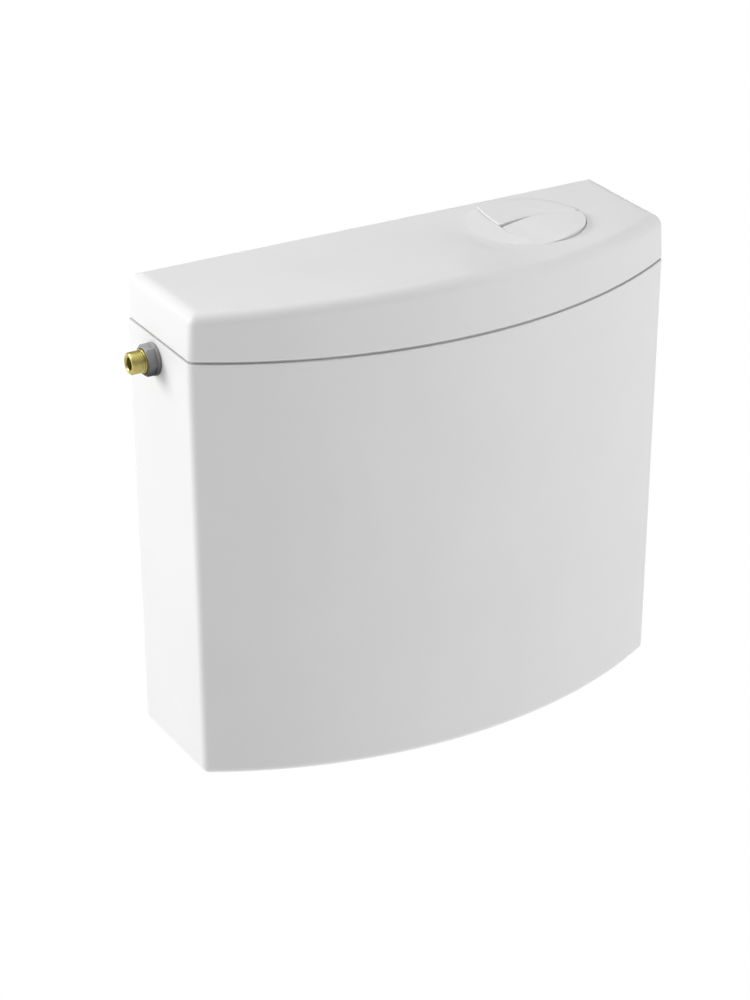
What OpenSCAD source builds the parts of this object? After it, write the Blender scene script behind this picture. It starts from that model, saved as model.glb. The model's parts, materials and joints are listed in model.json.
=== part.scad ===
// Exposed wall-hung toilet cistern with a bowed front, a lift-off lid and a two-quantity flush.
// Sizes are in millimetres. The tank is drawn with its underside at z = 0, its back on the
// wall plane y = 0 and its front towards -y; at_datum() then moves the origin to the point
// halfway between the two wall-screw holes.

/* [Tank] */
// Width across the tank at the lid joint
tank_w = 400; // [360:1:450]
// Height from the underside to the lid joint
joint_h = 335; // [300:1:380]
// Depth of the flat side faces, from the wall to the front corner
side_depth = 97.5; // [85:0.5:120]
// How far the front bows out past its corners
bow = 57.5; // [40:0.5:75]
// Narrowing of each side from the joint down to the underside
side_draft = 3.5; // [0.5:0.5:5]
// Loss of bow from the joint down to the underside
bow_draft = 6; // [1:0.5:9]
// Wall thickness of the tank moulding
wall = 3; // [2.5:0.1:3.5]
// Thickness of the tank floor
floor_t = 3.5; // [3:0.5:5]
// Radius of the two front vertical edges
front_r = 8; // [6:0.5:12]
// Radius of the two rear vertical edges
rear_r = 4.5; // [4:0.5:8]
// Radius round the underside
base_r = 5; // [3:0.5:8]
// Thickness of the condensation liner
liner_t = 6; // [5:0.5:8]
// Gap between the liner and the tank wall
liner_gap = 0.2; // [0.1:0.05:0.4]

/* [Lid] */
// Height of the lid above the joint
lid_h = 35; // [34:1:45]
// Thickness of the lid moulding
lid_t = 3; // [2.5:0.1:3.5]
// Radius of the lid's upper edges
lid_edge_r = 9; // [6:0.5:12]
// Narrowing of each lid side from the joint to the top
lid_draft = 2; // [0.5:0.5:3]
// Rise of the lid's front edge towards its middle
lid_crown = 12; // [2:0.5:14]
// Height of the shadow line between lid and tank
shadow_gap = 1.6; // [1:0.1:2.4]
// Thickness of the inner lip that carries the lid
lip_t = 1.4; // [1:0.1:1.8]
// Depth of the lid's locating skirt below the joint
skirt_h = 4; // [3:0.5:8]
// Thickness of the locating skirt
skirt_t = 2; // [1.5:0.1:2.5]
// Clearance of the skirt inside the tank
skirt_gap = 0.4; // [0.3:0.05:0.6]

/* [Flush buttons] */
// Distance of the button field's centre from the right end of the tank
pad_edge = 99.5; // [90:0.5:110]
// Centre of the button field, out from the wall
pad_y = 59; // [56:0.5:64]
// Radius of the button field
pad_r = 46; // [42:0.5:50]
// Distance from the field's centre to the left edge of the buttons
pad_cut = 23; // [20:0.5:26]
// Radius of the curved left edge of the buttons
cut_r = 190; // [150:5:260]
// Radius of the curved line between the two buttons
split_r = 105; // [90:5:160]
// How far the split line bulges to the rear past the field's centre
split_rise = 5; // [2:0.5:7]
// Gap round and between the buttons
button_gap = 0.5; // [0.4:0.05:1]
// Height of the buttons above the lid
button_rise = 2.5; // [1.5:0.1:3.5]
// Thickness of a button's plate and skirt
button_t = 2.4; // [2:0.1:3]
// Travel of a pressed button
button_travel = 10; // [6:0.5:12]
// Radius of a button's stem
stem_r = 4; // [3.5:0.1:4.5]
// Radial running clearance of pins and stems
run_gap = 0.06; // [0.04:0.01:0.1]
// Wire thickness of the return springs
spring_wire = 0.8; // [0.6:0.1:1]
// Turns of a return spring
spring_turns = 4; // [3:1:6]

/* [Lifting gear] */
// Position of the rocker axle to the right of the middle
axle_x = 58; // [54:1:64]
// Depth of the rocker axle below the lid joint
axle_drop = 18; // [16:0.5:20]
// Radius of the rocker axle
axle_r = 3; // [2.5:0.1:3.5]
// Height of a rocker arm
arm_h = 8; // [7:0.5:10]
// Width of a rocker arm
arm_w = 10; // [9:0.5:11]
// Free play between the lifting pieces
play = 0.3; // [0.2:0.05:0.4]
// Width of the bridge that carries the axle
bridge_w = 18; // [16:1:22]

/* [Flush valve] */
// Distance of the outlet from the wall
outlet_y = 62; // [60:0.5:66]
// Bore of the outlet, for a 50 mm flush pipe
outlet_bore_r = 25.2; // [20:0.1:27]
// Length of the outlet spigot below the tank
spigot_l = 20; // [16:1:28]
// Outside radius of the outlet spigot's thread
spigot_r = 29.8; // [28:0.1:33]
// Outside radius of the overflow pipe
overflow_r = 17.5; // [16:0.5:19]
// Height of the overflow pipe's rim above the underside
overflow_h = 250; // [230:1:265]
// Outside radius of the valve cage
cage_r = 42; // [41:0.5:46]
// Height of the valve cage
cage_h = 125; // [110:1:140]
// Distance of each lift rod from the valve's axis
rod_y = 22; // [21.5:0.5:24]

/* [Water inlet] */
// Distance of the inlet from the wall
inlet_y = 42; // [40:0.5:46]
// Clearance between the lid's skirt and the inlet's flange
inlet_clear = 0.7; // [0.5:0.1:6]
// Outside radius of the inlet thread, G 3/8
inlet_r = 8.33; // [6.5:0.01:10.5]
// Free length of the inlet thread
inlet_l = 10; // [8:0.5:16]
// Bore of the inlet shank
inlet_bore_r = 4.75; // [4:0.25:5.5]
// Thickness of the inlet nut, flange included
nut_t = 9.2; // [8:0.2:11]
// Wall of the inlet nut round its thread, at the hexagon's corners
nut_wall = 3.2; // [2.5:0.1:5]
// Length of the float lever, pivot to adjuster
lever_l = 44; // [40:1:48]
// Swing of the float lever, in degrees
lever_swing = 15; // [10:1:16]
// Size of the float along x, y and z
float_size = [46, 46, 60]; // [40:1:65]

/* [Wall fixing] */
// Depth of the wall-screw holes below the lid joint
fix_drop = 50; // [40:1:90]
// Distance between the wall-screw holes
fix_w = 240; // [160:1:280]
// Radius of a wall-screw hole
fix_r = 4; // [3.5:0.1:4.5]

/* [Hidden] */
$fn = 64;

white = [0.92, 0.92, 0.92];
foam_white = [0.96, 0.96, 0.94];
grey = [0.45, 0.46, 0.48];
brass = [0.80, 0.68, 0.32];
black_rubber = [0.10, 0.10, 0.11];
acetal = [0.86, 0.88, 0.86];
valve_blue = [0.20, 0.38, 0.60];
steel = [0.70, 0.71, 0.73];

// Thickness of the slices that a drafted shell is stretched over
slice_t = 0.01;
// Smallest corner radius of an inset outline
least_r = 0.5;
// Overshoot of a cut past the face it goes through
over = 1;
// Gap between still pieces that are screwed or pushed together
fit_gap = 0.15;

// Height of the wall-screw holes above the underside
fix_h = joint_h - fix_drop;
// Centre of the button field, to the right of the middle
pad_x = tank_w / 2 - pad_edge;

// Levels of the lid and the joint
lid_foot = joint_h + shadow_gap / 2;
rim_z = joint_h - shadow_gap / 2;
lid_top = joint_h + lid_h;
lid_under = lid_top - lid_t;

// Steps in the outline's rear corners, front corners and bow, and in the rounded rims
rear_steps = 4;
front_steps = 6;
bow_steps = 36;
rim_steps = 5;

// Outline of tank and lid at height z, drawn in by inset
function half_w(z) = z <= joint_h
  ? tank_w / 2 - side_draft * (1 - z / joint_h)
  : tank_w / 2 - lid_draft * (z - joint_h) / lid_h;
function bow_at(z) = z <= joint_h
  ? bow - bow_draft * (1 - z / joint_h)
  : bow - lid_draft * (z - joint_h) / lid_h;
function bow_r(z) = (half_w(z) ^ 2 + bow_at(z) ^ 2) / (2 * bow_at(z));
function bow_cy(z) = bow_r(z) - side_depth - bow_at(z);
function front_y(x, z, inset) = bow_cy(z) - sqrt((bow_r(z) - inset) ^ 2 - x ^ 2);
function arc(c, r, a0, a1, n) =
  [for (i = [0:n]) c + r * [cos(a0 + (a1 - a0) * i / n), sin(a0 + (a1 - a0) * i / n)]];
function inner_points(c, r, a0, a1, n) =
  [for (i = [1:n - 1]) c + r * [cos(a0 + (a1 - a0) * i / n), sin(a0 + (a1 - a0) * i / n)]];
function outline(z, inset) =
  let (
    a = half_w(z) - inset,
    r = bow_r(z) - inset,
    yc = bow_cy(z),
    fr = max(front_r - inset, least_r),
    rr = max(rear_r - inset, least_r),
    cx = a - fr,
    cy = yc - sqrt((r - fr) ^ 2 - cx ^ 2),
    turn = atan2(cy - yc, cx)
  )
  concat(
    arc([a - rr, -inset - rr], rr, 0, 90, rear_steps),
    arc([-a + rr, -inset - rr], rr, 90, 180, rear_steps),
    arc([-cx, cy], fr, 180, 180 - turn, front_steps),
    inner_points([0, yc], r, 180 - turn, 360 + turn, bow_steps),
    arc([cx, cy], fr, 360 + turn, 360, front_steps)
  );

module slice(z, inset) {
  translate([0, 0, z]) linear_extrude(slice_t) polygon(outline(z, inset));
}

// Solid of the tank's drafted form between two heights, with rounded lower and upper rims
module form(z0, z1, inset, foot_r = 0, head_r = 0) {
  hull() {
    if (foot_r > 0)
      for (i = [0:rim_steps])
        slice(z0 + foot_r * (1 - cos(90 * i / rim_steps)),
              inset + foot_r * (1 - sin(90 * i / rim_steps)));
    else
      slice(z0, inset);
    if (head_r > 0)
      for (i = [0:rim_steps])
        slice(z1 - slice_t - head_r * (1 - cos(90 * i / rim_steps)),
              inset + head_r * (1 - sin(90 * i / rim_steps)));
    else
      slice(z1 - slice_t, inset);
  }
}

// Part of a slice that lies in the bow, in front of the side faces
module bow_slice(z, inset) {
  translate([0, 0, z]) linear_extrude(slice_t)
    intersection() {
      polygon(outline(z, inset));
      translate([-tank_w, -side_depth - tank_w]) square([2 * tank_w, tank_w]);
    }
}

// Crown of the lid: the bow's part of its form, tilted up towards the front
module crown(z0, z1, inset, head_r) {
  tilt = lid_crown / bow;
  hull() {
    bow_slice(z0, inset);
    multmatrix([[1, 0, 0, 0], [0, 1, 0, 0], [0, -tilt, 1, -tilt * side_depth]])
      for (i = [0:rim_steps])
        bow_slice(z1 - slice_t - head_r * (1 - cos(90 * i / rim_steps)),
                  inset + head_r * (1 - sin(90 * i / rim_steps)));
  }
}

module tube(r_out, r_in, z0, z1) {
  difference() {
    translate([0, 0, z0]) cylinder(r = r_out, h = z1 - z0);
    translate([0, 0, z0 - over]) cylinder(r = r_in, h = z1 - z0 + 2 * over);
  }
}

// Children drawn along z are laid along x, starting at x
module along_x(x, y, z) {
  translate([x, y, z]) rotate([0, 90, 0]) children();
}

// Children drawn along z are laid along -y, starting at y
module along_front(x, y, z) {
  translate([x, y, z]) rotate([90, 0, 0]) children();
}

module at_outlet() {
  translate([0, -outlet_y, 0]) children();
}

// Origin halfway between the wall-screw holes, on the wall plane
module at_datum() {
  translate([0, 0, -fix_h]) children();
}

// Tank

hole_gap = 0.4;
shank_step = 0.5;
shank_rim = 3.5;
shank_r = inlet_r + shank_step;
shank_flange_r = shank_r + shank_rim;
inlet_z = joint_h - skirt_h - inlet_clear - shank_flange_r;
spigot_hole_r = spigot_r + hole_gap;
inlet_hole_r = shank_r + hole_gap;
fix_boss_r = 3 * fix_r;
fix_boss_t = 3;

module wall_screw_pair() {
  for (side = [-1, 1]) translate([side * fix_w / 2, 0, fix_h]) rotate([90, 0, 0]) children();
}

module tank_body() {
  color(white)
    difference() {
      union() {
        difference() {
          union() {
            form(0, rim_z, 0, foot_r = base_r);
            form(rim_z - over, lid_foot, wall - lip_t);
          }
          form(floor_t, lid_foot + over, wall, foot_r = base_r);
        }
        wall_screw_pair() translate([0, 0, wall / 2]) cylinder(r = fix_boss_r, h = fix_boss_t + wall / 2);
      }
      wall_screw_pair() translate([0, 0, -over]) cylinder(r = fix_r, h = wall + fix_boss_t + 2 * over);
      at_outlet() translate([0, 0, -over]) cylinder(r = spigot_hole_r, h = floor_t + 2 * over);
      for (side = [-1, 1])
        along_x(side * tank_w / 2 - 2 * wall, -inlet_y, inlet_z) cylinder(r = inlet_hole_r, h = 4 * wall);
    }
}

// Liner: foam shell inside the tank, notched for the bridge and cut round every fitting

liner_room = 2;
liner_top = joint_h - skirt_h - liner_room;
liner_floor = floor_t + liner_gap;
liner_inset = wall + liner_gap;
axle_z = joint_h - axle_drop;
hub_wall = 3;
hub_r = axle_r + hub_wall;
bridge_t = 10;
bridge_room = 3;
bridge_top = axle_z - hub_r - bridge_room;
bridge_z = bridge_top - bridge_t;
flange_rim = 3;
flange_r = cage_r + flange_rim;
fitting_room = 10;
fitting_hole_r = shank_r + fitting_room;

module insulation_liner() {
  color(foam_white)
    difference() {
      form(liner_floor, liner_top, liner_inset, foot_r = base_r);
      form(liner_floor + liner_t, liner_top + over, liner_inset + liner_t, foot_r = base_r);
      at_outlet() translate([0, 0, liner_floor - over])
        cylinder(r = flange_r + liner_room, h = liner_t + 2 * over);
      for (side = [-1, 1])
        along_x(side * (tank_w / 2 - wall - liner_t) - 2 * liner_t, -inlet_y, inlet_z)
          cylinder(r = fitting_hole_r, h = 4 * liner_t);
      wall_screw_pair() cylinder(r = fix_boss_r + liner_room, h = 2 * (wall + liner_t));
      translate([axle_x - bridge_w / 2 - play, -2 * (side_depth + bow), bridge_z])
        cube([bridge_w + 2 * play, 2 * (side_depth + bow), joint_h]);
    }
}

// Button field outlines, drawn about the field's centre, drawn in by inset

split_x = 8;
module field(inset) {
  intersection() {
    circle(r = pad_r - inset);
    translate([cut_r - pad_cut, 0]) circle(r = cut_r - inset);
  }
}

module split_disc(grow) {
  translate([split_x, split_rise - split_r]) circle(r = split_r + grow);
}

// Front half carries the full flush, rear half the part flush
module front_half(inset) {
  intersection() {
    field(inset);
    split_disc(-inset);
  }
}

module rear_half(inset) {
  difference() {
    field(inset);
    split_disc(inset);
  }
}

module at_field() {
  translate([pad_x, -pad_y, 0]) children();
}

// Lid

ramp_step = 0.6;
ramp_rise = button_rise - ramp_step;
ramp_root = 1;
skirt_in = wall + skirt_gap;
rib_t = 2;
rib_h = 9;
rib_pitch = 66;
rib_inset = lid_t + lid_edge_r;
rib_l = side_depth - rib_t - rib_inset;

module lid_ramp() {
  at_field()
    intersection() {
      translate([0, 0, lid_top - ramp_root]) cylinder(r = pad_r, h = ramp_root + button_rise);
      along_front(0, pad_r, lid_top)
        linear_extrude(2 * pad_r)
          polygon([[-pad_r, -ramp_root], [0, -ramp_root],
                   [0, ramp_rise * pad_r / (pad_r - pad_cut)], [-pad_r, 0]]);
    }
}

module lid() {
  color(white)
    difference() {
      union() {
        difference() {
          union() {
            form(lid_foot, lid_top, 0, head_r = lid_edge_r);
            crown(lid_foot, lid_top, 0, lid_edge_r);
          }
          form(lid_foot - over, lid_under, lid_t, head_r = lid_edge_r - lid_t);
          crown(lid_foot - over, lid_under, lid_t, lid_edge_r - lid_t);
        }
        difference() {
          union() {
            form(joint_h - skirt_h, lid_foot + slice_t, skirt_in);
            form(lid_foot, lid_foot + skirt_h, lid_t - skirt_gap);
          }
          form(joint_h - skirt_h - over, lid_foot + skirt_h + over, skirt_in + skirt_t);
        }
        lid_ramp();
        for (x = [-2 * rib_pitch, -rib_pitch, 0])
          translate([x - rib_t / 2, -rib_inset - rib_l, lid_under - rib_h])
            cube([rib_t, rib_l, rib_h + lid_t / 2]);
      }
      at_field() translate([0, 0, lid_under - over])
        linear_extrude(lid_t + button_rise + 2 * over) field(0);
    }
}

// Frame under the lid that guides the two buttons

frame_wall = 2;
frame_seat = 2.5;
spring_pack = 7;
frame_depth = spring_pack + button_travel;
frame_floor_t = 2.5;
frame_floor = lid_under - frame_depth;
stem_y = rod_y;
stem_dy = pad_y - outlet_y;
guide_r = stem_r + frame_wall;

// Stem places, about the field's centre: the front one works the full flush
module at_stem(front) {
  translate([0, stem_dy + (front ? -stem_y : stem_y), 0]) children();
}

module button_frame() {
  color(white)
    at_field()
      difference() {
        union() {
          translate([0, 0, frame_floor]) linear_extrude(frame_depth) field(-frame_wall);
          translate([0, 0, lid_under - frame_wall])
            linear_extrude(frame_wall) field(-frame_wall - frame_seat);
          for (front = [false, true]) at_stem(front)
            translate([0, 0, frame_floor - frame_wall]) cylinder(r = guide_r, h = frame_wall + over);
        }
        translate([0, 0, frame_floor + frame_floor_t]) linear_extrude(frame_depth + over) field(0);
        for (front = [false, true]) at_stem(front)
          translate([0, 0, frame_floor - 2 * frame_wall])
            cylinder(r = stem_r + run_gap, h = 4 * frame_wall);
      }
}

// Buttons: a plate with a skirt all round and a stem that runs in the frame

button_top = lid_top + button_rise;
button_under = button_top - button_t;
spring_floor = frame_floor + frame_floor_t;
skirt_room = 1;
button_skirt = spring_floor + button_travel + skirt_room;
guide_foot = frame_floor - frame_wall;
pin_r = 2;
pin_deep = 8;
tip_r = 4;
tip_z = axle_z + arm_h / 2 + play + tip_r;
collar_top = guide_foot - play;
stop_rim = 2;
pin_collar_t = 2.5;

module button_cap(front) {
  difference() {
    translate([0, 0, button_skirt]) linear_extrude(button_top - button_skirt)
      if (front) front_half(button_gap); else rear_half(button_gap);
    translate([0, 0, button_skirt - over]) linear_extrude(button_under - button_skirt + over)
      if (front) front_half(button_gap + button_t); else rear_half(button_gap + button_t);
  }
  at_stem(front)
    difference() {
      translate([0, 0, collar_top]) cylinder(r = stem_r, h = button_under - collar_top + over);
      translate([0, 0, collar_top - over]) cylinder(r = pin_r, h = pin_deep + over);
    }
}

module full_flush_button() {
  color(white) at_field() button_cap(true);
}

module part_flush_button() {
  color(white) at_field() button_cap(false);
}

// Push pin: screwed into the stem's foot, with a stop collar and a round tip
module push_pin(front) {
  at_field() at_stem(front)
    union() {
      translate([0, 0, collar_top - over]) cylinder(r = pin_r - fit_gap, h = pin_deep);
      translate([0, 0, collar_top - pin_collar_t]) cylinder(r = stem_r + stop_rim, h = pin_collar_t);
      translate([0, 0, tip_z]) cylinder(r = tip_r, h = collar_top - pin_collar_t - tip_z + slice_t);
      translate([0, 0, tip_z]) sphere(r = tip_r);
    }
}

module full_push_pin() {
  color(acetal) push_pin(true);
}

module part_push_pin() {
  color(acetal) push_pin(false);
}

// Return spring: one wire wound round the stem, with straight ends that stand on frame and button

spring_room = 1.2;
spring_r = stem_r + spring_room + spring_wire / 2;
spring_h = button_under - spring_floor;
ring_sides = 6;
turn_rings = 8;
function spring_point(i) =
  let (
    n = spring_turns * turn_rings,
    foot = 1.5 * spring_wire,
    t = (i - 1) / n
  )
  i == 0 ? [spring_r, 0, 0]
  : i == n + 2 ? [spring_r, 0, spring_h]
  : [spring_r * cos(360 * (i - 1) / turn_rings), spring_r * sin(360 * (i - 1) / turn_rings),
     foot + (spring_h - 2 * foot) * t];
spring_path = [for (i = [0:spring_turns * turn_rings + 2]) spring_point(i)];

function unit(v) = v / norm(v);
function heading(path, i) =
  i == 0 || i == len(path) - 1 ? [0, 0, 1] : unit(path[i + 1] - path[i - 1]);
function ring(path, i, r) =
  let (
    h = heading(path, i),
    out = unit([path[i][0], path[i][1], 0]),
    u = unit(out - (out * h) * h),
    v = cross(h, u)
  )
  [for (k = [0:ring_sides - 1])
    path[i] + r * (cos(360 * k / ring_sides) * u + sin(360 * k / ring_sides) * v)];

module wire(path, r) {
  n = len(path);
  points = [for (i = [0:n - 1]) each ring(path, i, r)];
  sides = [
    for (i = [0:n - 2], k = [0:ring_sides - 1])
      let (a = i * ring_sides + k, b = i * ring_sides + (k + 1) % ring_sides)
        each [[a, a + ring_sides, b], [b, a + ring_sides, b + ring_sides]]
  ];
  foot = [for (k = [1:ring_sides - 2]) [0, k, k + 1]];
  last = (n - 1) * ring_sides;
  head = [for (k = [1:ring_sides - 2]) [last, last + k + 1, last + k]];
  polyhedron(points, concat(sides, foot, head));
}

spring_clear = min([
  for (i = [0:len(spring_path) - 1], j = [i + turn_rings - 1:1:len(spring_path) - 1])
    norm(spring_path[i] - spring_path[j])
]) - spring_wire;
echo(least_gap_between_spring_turns = spring_clear);

module button_spring(front) {
  at_field() at_stem(front) translate([0, 0, spring_floor]) wire(spring_path, spring_wire / 2);
}

module full_button_spring() {
  color(steel) button_spring(true);
}

module part_button_spring() {
  color(steel) button_spring(false);
}

// Bridge: beam laid in the liner's notches, with three cheeks that carry the axle

cheek_t = 4;
hub_w = 2 * rod_y - cheek_t - 2 * play;
cheek_pitch = 2 * rod_y;
cheek_w = 2 * hub_r;
bridge_end = wall + 2 * liner_gap;

module at_axle() {
  translate([axle_x, -outlet_y, axle_z]) children();
}

module actuator_bridge() {
  front = front_y(axle_x + bridge_w / 2, bridge_z, bridge_end);
  color(acetal)
    difference() {
      union() {
        translate([axle_x - bridge_w / 2, front, bridge_z]) cube([bridge_w, -front - bridge_end, bridge_t]);
        at_axle()
          for (i = [-1:1])
            translate([0, i * cheek_pitch, 0]) {
              rotate([90, 0, 0]) cylinder(r = hub_r, h = cheek_t, center = true);
              translate([-cheek_w / 2, -cheek_t / 2, bridge_top - axle_z - over])
                cube([cheek_w, cheek_t, axle_z - bridge_top + over]);
            }
      }
      at_axle() rotate([90, 0, 0]) cylinder(r = axle_r + run_gap, h = 3 * cheek_pitch, center = true);
    }
}

axle_reach = cheek_pitch + cheek_t / 2;
axle_head_t = 2;
axle_head_rim = 1.5;
clip_t = 1.2;
clip_in = 0.8;
clip_rim = 2;
clip_mouth = 1.2 * axle_r;
axle_tail = 2;

module rocker_axle() {
  color(steel)
    at_axle()
      difference() {
        union() {
          rotate([90, 0, 0])
            cylinder(r = axle_r, h = 2 * axle_reach + 2 * (clip_t + axle_tail), center = true);
          translate([0, axle_reach + play, 0])
            rotate([-90, 0, 0]) cylinder(r = axle_r + axle_head_rim, h = axle_head_t);
        }
        translate([0, -axle_reach - play, 0])
          rotate([90, 0, 0]) tube(axle_r + over, axle_r - clip_in, 0, clip_t);
      }
}

module axle_clip() {
  color(steel)
    at_axle()
      translate([0, -axle_reach - play, 0]) rotate([90, 0, 0])
        difference() {
          tube(axle_r + clip_rim, axle_r - clip_in + fit_gap, fit_gap, clip_t - fit_gap);
          translate([0, -clip_mouth / 2, -over])
            cube([axle_r + clip_rim + over, clip_mouth, clip_t + 2 * over]);
        }
}

// Rockers: pressed down at the right by a push pin, lifting a rod at the left

pad_len = 10;
fork_len = 9;
rod_t = 4;
rod_w = 8;
rod_slot = rod_t + 4 * play;

module rocker(front) {
  right = pad_x - axle_x + pad_len;
  left = axle_x + fork_len;
  translate([0, front ? -rod_y : rod_y, 0]) at_axle()
    difference() {
      union() {
        translate([-left, -arm_w / 2, -arm_h / 2]) cube([left + right, arm_w, arm_h]);
        rotate([90, 0, 0]) cylinder(r = hub_r, h = hub_w, center = true);
      }
      rotate([90, 0, 0]) cylinder(r = axle_r + run_gap, h = 2 * hub_w, center = true);
      translate([-left - over, -rod_slot / 2, -arm_h]) cube([2 * fork_len + over, rod_slot, 2 * arm_h]);
    }
}

module full_flush_rocker() {
  color(valve_blue) rocker(true);
}

module part_flush_rocker() {
  color(grey) rocker(false);
}

// Lift rods: flat bars whose round heads rest above the rocker forks

head_r = 4;
head_z = axle_z + arm_h / 2 + play + head_r;
head_w = arm_w;
collar_drop = 30;
collar_z = overflow_h - collar_drop;
collar_h = 12;
collar_wall = 2;
collar_r = overflow_r + collar_wall;
lug_wall = 3;
foot_t = 3;

module rod_head() {
  translate([0, 0, head_z]) rotate([90, 0, 0]) cylinder(r = head_r, h = head_w, center = true);
}

module rod_bar(z0) {
  translate([-rod_w / 2, -rod_t / 2, z0]) cube([rod_w, rod_t, head_z - z0]);
}

module full_lift_rod() {
  color(valve_blue)
    at_outlet() translate([0, -rod_y, 0]) {
      rod_head();
      rod_bar(collar_z + foot_t);
    }
}

module lift_collar() {
  color(acetal)
    at_outlet()
      difference() {
        union() {
          translate([0, 0, collar_z]) cylinder(r = collar_r, h = collar_h);
          translate([-rod_w / 2 - lug_wall, -rod_y - rod_t / 2 - lug_wall, collar_z])
            cube([rod_w + 2 * lug_wall, rod_y, collar_h]);
        }
        translate([0, 0, collar_z - over]) cylinder(r = overflow_r + fit_gap, h = collar_h + 2 * over);
        translate([-rod_w / 2 - fit_gap, -rod_y - rod_t / 2 - fit_gap, collar_z + foot_t])
          cube([rod_w + 2 * fit_gap, rod_t + 2 * fit_gap, collar_h]);
      }
}

// Flush valve: seat and spigot through the floor, cage above, overflow pipe as the moving valve

gasket_t = 2;
seat_flange_z = floor_t + gasket_t;
seat_flange_t = 4;
seat_rise = 3;
seat_z = seat_flange_z + seat_flange_t + seat_rise;
seat_land = 4;
seat_r = outlet_bore_r + seat_land;
throat_step = 2.5;
throat_r = outlet_bore_r - throat_step;
seal_t = 3;
seal_lap = 4;
seal_r = seat_r + seal_lap;
disc_t = 3;
overflow_t = 2;

module valve_seat() {
  color(acetal)
    at_outlet()
      difference() {
        union() {
          translate([0, 0, -spigot_l]) cylinder(r = spigot_r, h = spigot_l + seat_flange_z + over);
          translate([0, 0, seat_flange_z]) cylinder(r = flange_r, h = seat_flange_t);
          translate([0, 0, seat_flange_z]) cylinder(r = seat_r, h = seat_z - seat_flange_z);
        }
        translate([0, 0, -spigot_l - over]) cylinder(r = outlet_bore_r, h = spigot_l + over);
        translate([0, 0, -over]) cylinder(r = throat_r, h = seat_z + 2 * over);
      }
}

module outlet_gasket() {
  color(black_rubber)
    at_outlet() tube(flange_r, spigot_r + fit_gap, floor_t, seat_flange_z);
}

module seat_seal() {
  color(black_rubber)
    at_outlet() tube(seal_r, overflow_r + fit_gap, seat_z, seat_z + seal_t);
}

module overflow_pipe() {
  color(acetal)
    at_outlet()
      difference() {
        union() {
          translate([0, 0, seat_z]) cylinder(r = overflow_r, h = overflow_h - seat_z);
          translate([0, 0, seat_z + seal_t]) cylinder(r = seal_r, h = disc_t);
        }
        translate([0, 0, seat_z - over])
          cylinder(r = overflow_r - overflow_t, h = overflow_h - seat_z + 2 * over);
      }
}

cage_t = 2.5;
cage_foot = seat_flange_z + seat_flange_t;
cage_top = cage_foot + cage_h;
window_w = 34;
window_h = 42;
window_sill = 6;
window_z = cage_foot + window_sill;

module cage_rod_slot() {
  translate([-rod_w / 2 - play, rod_y - rod_t / 2 - play, cage_top - 2 * cage_t])
    cube([rod_w + 2 * play, rod_t + 2 * play, 3 * cage_t]);
}

module valve_cage() {
  color(valve_blue)
    at_outlet()
      difference() {
        tube(cage_r, overflow_r + play, cage_foot, cage_top);
        translate([0, 0, cage_foot - over]) cylinder(r = cage_r - cage_t, h = cage_h - cage_t + over);
        for (turn = [0, 90]) rotate([0, 0, turn])
          translate([-window_w / 2, -cage_r - over, window_z])
            cube([window_w, 2 * (cage_r + over), window_h]);
        cage_rod_slot();
      }
}

// Part-flush float: ring inside the cage, lifted by the rear rod

float_gap = 1.5;
float_r = cage_r - cage_t - float_gap;
float_bore_gap = 1;
float_room = 4;
float_z = window_z + window_h + float_room;
float_h = 34;

module part_flush_float() {
  color(foam_white)
    at_outlet()
      difference() {
        tube(float_r, overflow_r + float_bore_gap, float_z, float_z + float_h);
        translate([-rod_w / 2 - fit_gap, rod_y - rod_t / 2 - fit_gap, float_z + foot_t])
          cube([rod_w + 2 * fit_gap, rod_t + 2 * fit_gap, float_h]);
      }
}

module part_lift_rod() {
  color(grey)
    at_outlet() translate([0, rod_y, 0]) {
      rod_head();
      rod_bar(float_z + foot_t);
    }
}

washer_t = 2;
washer_step = 4;
back_nut_t = 9;
back_nut_wall = 8;
back_grip_r = 5;
back_grips = 8;
flush_nut_t = 14;
flush_nut_wall = 6;
flush_grip_r = 4;
flush_grips = 12;
flush_seal_t = 3;
flush_seal_step = 0.5;
flush_lip_t = 3;
flush_pipe_gap = 0.6;

// Round nut with grip hollows cut into its rim
module grip_ring(r, hollow_r, hollows, z0, h) {
  difference() {
    translate([0, 0, z0]) cylinder(r = r, h = h);
    for (i = [0:hollows - 1])
      rotate([0, 0, 360 * (i + 0.5) / hollows]) translate([r + hollow_r / 2, 0, z0 - over])
        cylinder(r = hollow_r, h = h + 2 * over);
  }
}

module outlet_washer() {
  color(grey)
    at_outlet() tube(flange_r - washer_step, spigot_r + fit_gap, -washer_t, 0);
}

module outlet_back_nut() {
  color(grey)
    at_outlet()
      difference() {
        grip_ring(spigot_r + back_nut_wall, back_grip_r, back_grips,
                  -washer_t - back_nut_t, back_nut_t);
        translate([0, 0, -washer_t - back_nut_t - over])
          cylinder(r = spigot_r + fit_gap, h = back_nut_t + 2 * over);
      }
}

module flush_pipe_seal() {
  color(black_rubber)
    at_outlet()
      tube(spigot_r - flush_seal_step, outlet_bore_r + fit_gap, -spigot_l - flush_seal_t, -spigot_l);
}

module flush_pipe_nut() {
  foot = -spigot_l - flush_seal_t - flush_lip_t;
  color(grey)
    at_outlet()
      difference() {
        grip_ring(spigot_r + flush_nut_wall, flush_grip_r, flush_grips, foot, flush_nut_t);
        translate([0, 0, foot - over])
          cylinder(r = outlet_bore_r + flush_pipe_gap, h = flush_nut_t + 2 * over);
        translate([0, 0, foot + flush_lip_t]) cylinder(r = spigot_r + fit_gap, h = flush_nut_t);
      }
}

// Water inlet, laid along x on the inlet's axis: 0 is the tank's outer face, positive goes inside

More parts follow.
